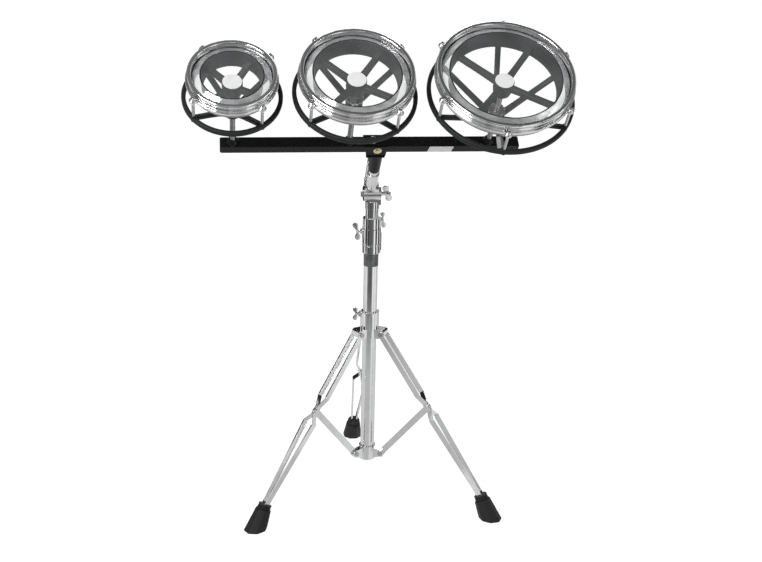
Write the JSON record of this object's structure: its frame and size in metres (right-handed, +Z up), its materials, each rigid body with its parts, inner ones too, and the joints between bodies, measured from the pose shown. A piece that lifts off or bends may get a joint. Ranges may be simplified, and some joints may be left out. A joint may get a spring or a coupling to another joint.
{
  "type": "three tom drum set on stand",
  "caption": "Shell-less rotary-tuned tom drums with clear heads on a tilting rail, carried by a folding double-braced tripod stand.",
  "frame": {"origin": "centre of the box round the whole object, on the floor under the feet", "axes": "+Z up, +X along the rail towards the largest drum, +Y away from the player"},
  "size_m": [0.7722, 0.6822, 1.1081],
  "materials": {
    "chrome": "polished",
    "zinc": "bright zinc",
    "steel": "threaded steel",
    "black": "semi-gloss black",
    "casting": "dark grey powder coat",
    "brass": "polished",
    "rubber": "matte",
    "label": "satin",
    "film": "clear film",
    "flesh": "satin",
    "bush": "nylon"
  },
  "bodies": {
    "base": {"base_tube": "chrome", "tube_band": "label", "lower_hub": "chrome", "lower_hub_rivets": "zinc", "tube_clamp": "chrome", "clamp_bush": "bush"},
    "clamp_bolt": {"clamp_wing_bolt": "chrome"},
    "collar": {"leg_collar": "chrome", "collar_rivets": "zinc"},
    "collar_screw": {"collar_thumb_screw": "chrome"},
    "leg_left_body": {"leg_left": "chrome", "foot_left": "rubber"},
    "brace_left_body": {"brace_left": "chrome"},
    "leg_right_body": {"leg_right": "chrome", "foot_right": "rubber"},
    "brace_right_body": {"brace_right": "chrome"},
    "leg_rear_body": {"leg_rear": "chrome", "foot_rear": "rubber"},
    "brace_rear_body": {"brace_rear": "chrome"},
    "height": {"memory_lock": "chrome"},
    "lock_screw": {"memory_lock_screw": "chrome"},
    "post": {"upper_tube": "chrome", "tilter_base": "chrome", "tilter_bolt": "zinc"},
    "tilter_nut": {"tilter_wing_nut": "chrome"},
    "tilter": {"tilter_top": "chrome"},
    "rail_body": {"rail_socket": "black", "rail_top_plate": "black", "bracket_bolt": "chrome", "rail": "black", "rail_end_caps": "black", "rail_tag": "label", "drum_shafts": "steel", "shaft_feet": "black", "small_hub_nut": "zinc", "medium_hub_nut": "zinc", "large_hub_nut": "zinc"},
    "bracket_screw_body": {"bracket_screw": "brass"},
    "small_drum": {"small_lower_frame": "casting", "small_tension_rods": "chrome", "small_hoop": "chrome", "small_flesh_hoop": "flesh"},
    "small_tuner": {"small_upper_frame": "casting", "small_hub_label": "label", "small_head": "film"},
    "medium_drum": {"medium_lower_frame": "casting", "medium_tension_rods": "chrome", "medium_hoop": "chrome", "medium_flesh_hoop": "flesh"},
    "medium_tuner": {"medium_upper_frame": "casting", "medium_hub_label": "label", "medium_head": "film"},
    "large_drum": {"large_lower_frame": "casting", "large_tension_rods": "chrome", "large_hoop": "chrome", "large_flesh_hoop": "flesh", "large_strap": "zinc"},
    "large_tuner": {"large_upper_frame": "casting", "large_hub_label": "label", "large_head": "film"}
  },
  "joints": [
    {"name": "clamp_bolt_turn", "type": "hinge", "parent": "base", "child": "clamp_bolt", "pos_m": [-0.0039, 0.01037, 0.638], "axis": [-1, 0, 0], "range_deg": [-90, 90]},
    {"name": "collar_slide", "type": "slide", "parent": "base", "child": "collar", "axis": [0, 0, 1], "range_m": [0, 0.066]},
    {"name": "collar_screw_turn", "type": "hinge", "parent": "collar", "child": "collar_screw", "pos_m": [-0.0039, 0.01037, 0.446], "axis": [-1, 0, 0], "range_deg": [-90, 90]},
    {"name": "leg_left_fold", "type": "hinge", "parent": "collar", "child": "leg_left_body", "pos_m": [-0.01561, -0.00563, 0.404], "axis": [0.5, -0.866, 0], "range_deg": [0, 22.58]},
    {"name": "brace_left_fold", "type": "hinge", "parent": "base", "child": "brace_left_body", "pos_m": [-0.01821, -0.00713, 0.108], "axis": [-0.5, 0.866, 0], "range_deg": [0, 25.95]},
    {"name": "leg_right_fold", "type": "hinge", "parent": "collar", "child": "leg_right_body", "pos_m": [0.03981, -0.00563, 0.404], "axis": [0.5, 0.866, 0], "range_deg": [0, 22.58]},
    {"name": "brace_right_fold", "type": "hinge", "parent": "base", "child": "brace_right_body", "pos_m": [0.04241, -0.00713, 0.108], "axis": [-0.5, -0.866, 0], "range_deg": [0, 25.95]},
    {"name": "leg_rear_fold", "type": "hinge", "parent": "collar", "child": "leg_rear_body", "pos_m": [0.0121, 0.04237, 0.404], "axis": [-1, 0, 0], "range_deg": [0, 22.58]},
    {"name": "brace_rear_fold", "type": "hinge", "parent": "base", "child": "brace_rear_body", "pos_m": [0.0121, 0.04537, 0.108], "axis": [1, 0, 0], "range_deg": [0, 25.95]},
    {"name": "height_slide", "type": "slide", "parent": "base", "child": "height", "axis": [0, 0, 1], "range_m": [0, 0.18]},
    {"name": "lock_screw_turn", "type": "hinge", "parent": "height", "child": "lock_screw", "pos_m": [0.0266, 0.01037, 0.663], "axis": [1, 0, 0], "range_deg": [-90, 90]},
    {"name": "post_swivel", "type": "hinge", "parent": "height", "child": "post", "pos_m": [0.0121, 0.01037, 0.66], "axis": [0, 0, 1], "range_deg": [-180, 180]},
    {"name": "tilter_nut_turn", "type": "hinge", "parent": "post", "child": "tilter_nut", "pos_m": [0.0303, 0.01037, 0.723], "axis": [1, 0, 0], "range_deg": [-90, 90]},
    {"name": "tilt", "type": "hinge", "parent": "post", "child": "tilter", "pos_m": [0.0121, 0.01037, 0.723], "axis": [1, 0, 0], "range_deg": [-39, 40]},
    {"name": "rail_swivel", "type": "hinge", "parent": "tilter", "child": "rail_body", "pos_m": [0.0076, -0.05257, 0.80071], "axis": [0, -0.6293, 0.7771], "range_deg": [-180, 180]},
    {"name": "bracket_screw_turn", "type": "hinge", "parent": "rail_body", "child": "bracket_screw_body", "pos_m": [0.0056, -0.09536, 0.85356], "axis": [0, -0.7771, -0.6293], "range_deg": [-180, 180]},
    {"name": "small_turn", "type": "hinge", "parent": "rail_body", "child": "small_drum", "pos_m": [-0.2889, -0.14696, 0.91729], "axis": [0, -0.6293, 0.7771], "range_deg": [-180, 180]},
    {"name": "small_tune", "type": "slide", "parent": "small_drum", "child": "small_tuner", "axis": [0, -0.6293, 0.7771], "range_m": [-0.0011, 0.0011]},
    {"name": "medium_turn", "type": "hinge", "parent": "rail_body", "child": "medium_drum", "pos_m": [-0.0519, -0.14696, 0.91729], "axis": [0, -0.6293, 0.7771], "range_deg": [-180, 180]},
    {"name": "medium_tune", "type": "slide", "parent": "medium_drum", "child": "medium_tuner", "axis": [0, -0.6293, 0.7771], "range_m": [-0.0011, 0.0011]},
    {"name": "large_turn", "type": "hinge", "parent": "rail_body", "child": "large_drum", "pos_m": [0.2381, -0.14696, 0.91729], "axis": [0, -0.6293, 0.7771], "range_deg": [-180, 180]},
    {"name": "large_tune", "type": "slide", "parent": "large_drum", "child": "large_tuner", "axis": [0, -0.6293, 0.7771], "range_m": [-0.0011, 0.0011]}
  ],
  "couplings": [
    {"joint": "leg_left_fold", "follows": "collar_slide", "rad_per_m": 5.9183},
    {"joint": "brace_left_fold", "follows": "collar_slide", "rad_per_m": 6.8099},
    {"joint": "leg_right_fold", "follows": "collar_slide", "rad_per_m": 5.9183},
    {"joint": "brace_right_fold", "follows": "collar_slide", "rad_per_m": 6.8099},
    {"joint": "leg_rear_fold", "follows": "collar_slide", "rad_per_m": 5.9183},
    {"joint": "brace_rear_fold", "follows": "collar_slide", "rad_per_m": 6.8099},
    {"joint": "small_tune", "follows": "small_turn", "m_per_rad": 0.000318},
    {"joint": "medium_tune", "follows": "medium_turn", "m_per_rad": 0.000318},
    {"joint": "large_tune", "follows": "large_turn", "m_per_rad": 0.000318}
  ]
}
